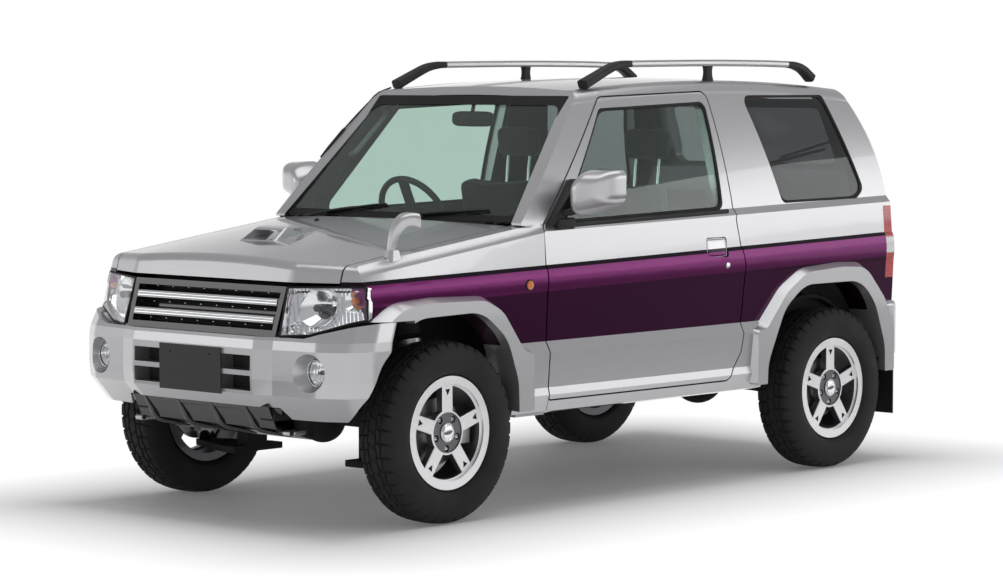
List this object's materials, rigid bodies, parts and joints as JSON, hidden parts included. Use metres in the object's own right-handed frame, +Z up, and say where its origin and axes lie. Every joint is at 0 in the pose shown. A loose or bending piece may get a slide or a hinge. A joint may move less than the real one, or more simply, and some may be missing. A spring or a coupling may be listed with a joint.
{
  "type": "kei car",
  "caption": "Compact three-door off-road car with a hollow cabin, opening doors, bonnet and side-hinged tailgate, steered front wheels and rolling tyres.",
  "frame": {"origin": "on the ground, under the centre of the overall length and width", "axes": "+X forward to the grille, +Y to the car's left side, +Z up"},
  "size_m": [3.395, 1.787, 1.6799],
  "materials": {
    "silver_paint": "metallic silver, with a purple band along the flanks",
    "window_glass": "green-tinted",
    "tyre_rubber": "matt",
    "alloy": "machined",
    "bare_metal": "rough",
    "exhaust_steel": "dull",
    "lamp_clear": "clear lens over bright reflectors",
    "lamp_red": "red lens",
    "seat_cloth": "woven",
    "cabin_plastic": "grained",
    "underbody_paint": "satin black",
    "black_plastic": "satin"
  },
  "bodies": {
    "body": {"arch_flares_front": "silver_paint", "arch_flares_rear": "silver_paint", "body_side_left": "silver_paint", "body_side_right": "silver_paint", "dashboard": "cabin_plastic", "engine": "bare_metal", "exhaust": "exhaust_steel", "fender_mirror": "silver_paint", "floor_pan": "underbody_paint", "fog_lamps": "lamp_clear", "front_bumper": "silver_paint", "front_fenders": "silver_paint", "front_seats": "seat_cloth", "front_structure": "underbody_paint", "front_suspension": "bare_metal", "fuel_tank": "underbody_paint", "headlamps": "lamp_clear", "mud_flaps": "black_plastic", "propeller_shaft": "bare_metal", "quarter_windows": "window_glass", "radiator_grille": "black_plastic", "rear_axle": "bare_metal", "rear_bumper": "silver_paint", "rear_seat": "seat_cloth", "rear_view_mirror": "cabin_plastic", "roof_panel": "silver_paint", "roof_rails": "silver_paint", "skid_plate": "black_plastic", "tail_lamps": "lamp_red", "windscreen": "window_glass", "windscreen_wipers": "black_plastic"},
    "bonnet": {"bonnet": "silver_paint"},
    "front_left_wheel": {"front_left_brake": "bare_metal", "front_left_rim": "alloy", "front_left_tyre": "tyre_rubber"},
    "front_right_wheel": {"front_right_brake": "bare_metal", "front_right_rim": "alloy", "front_right_tyre": "tyre_rubber"},
    "left_door": {"left_door": "silver_paint", "left_door_glass": "window_glass", "left_door_mirror": "silver_paint"},
    "left_knuckle": {"left_knuckle": "bare_metal"},
    "rear_left_wheel": {"rear_left_brake": "bare_metal", "rear_left_rim": "alloy", "rear_left_tyre": "tyre_rubber"},
    "rear_right_wheel": {"rear_right_brake": "bare_metal", "rear_right_rim": "alloy", "rear_right_tyre": "tyre_rubber"},
    "right_door": {"right_door": "silver_paint", "right_door_glass": "window_glass", "right_door_mirror": "silver_paint"},
    "right_knuckle": {"right_knuckle": "bare_metal"},
    "tailgate": {"spare_wheel": "silver_paint", "tailgate": "silver_paint", "tailgate_glass": "window_glass"},
    "steering_wheel": {"steering_wheel": "cabin_plastic"}
  },
  "joints": [
    {"name": "left_door_hinge", "type": "hinge", "parent": "body", "child": "left_door", "pos_m": [0.618, 0.6715, 0.7025], "axis": [0, 0, -1], "range_deg": [0, 65]},
    {"name": "right_door_hinge", "type": "hinge", "parent": "body", "child": "right_door", "pos_m": [0.618, -0.6715, 0.7025], "axis": [0, 0, 1], "range_deg": [0, 65]},
    {"name": "bonnet_hinge", "type": "hinge", "parent": "body", "child": "bonnet", "pos_m": [0.646, 0, 1.04], "axis": [0, -1, 0], "range_deg": [0, 50]},
    {"name": "tailgate_hinge", "type": "hinge", "parent": "body", "child": "tailgate", "pos_m": [-1.661, -0.582, 0.9185], "axis": [0, 0, 1], "range_deg": [0, 90]},
    {"name": "left_steer", "type": "hinge", "parent": "body", "child": "left_knuckle", "pos_m": [1.09, 0.6, 0.2255], "axis": [0, -0.2044, 0.9789], "range_deg": [-33, 33]},
    {"name": "right_steer", "type": "hinge", "parent": "body", "child": "right_knuckle", "pos_m": [1.09, -0.6, 0.2255], "axis": [0, 0.2044, 0.9789], "range_deg": [-33, 33]},
    {"name": "steering_column", "type": "hinge", "parent": "body", "child": "steering_wheel", "pos_m": [0.176, -0.348, 1.04], "axis": [-0.9063, 0, 0.4226], "range_deg": [-530, 530]},
    {"name": "front_left_spin", "type": "hinge", "parent": "left_knuckle", "child": "front_left_wheel", "pos_m": [1.09, 0.6475, 0.3305], "axis": [0, 1, 0], "continuous": true},
    {"name": "front_right_spin", "type": "hinge", "parent": "right_knuckle", "child": "front_right_wheel", "pos_m": [1.09, -0.6475, 0.3305], "axis": [0, 1, 0], "continuous": true},
    {"name": "rear_left_spin", "type": "hinge", "parent": "body", "child": "rear_left_wheel", "pos_m": [-1.19, 0.6475, 0.3305], "axis": [0, 1, 0], "continuous": true},
    {"name": "rear_right_spin", "type": "hinge", "parent": "body", "child": "rear_right_wheel", "pos_m": [-1.19, -0.6475, 0.3305], "axis": [0, 1, 0], "continuous": true}
  ],
  "couplings": [
    {"joint": "right_steer", "follows": "left_steer", "ratio": 1},
    {"joint": "steering_column", "follows": "left_steer", "ratio": 16}
  ]
}
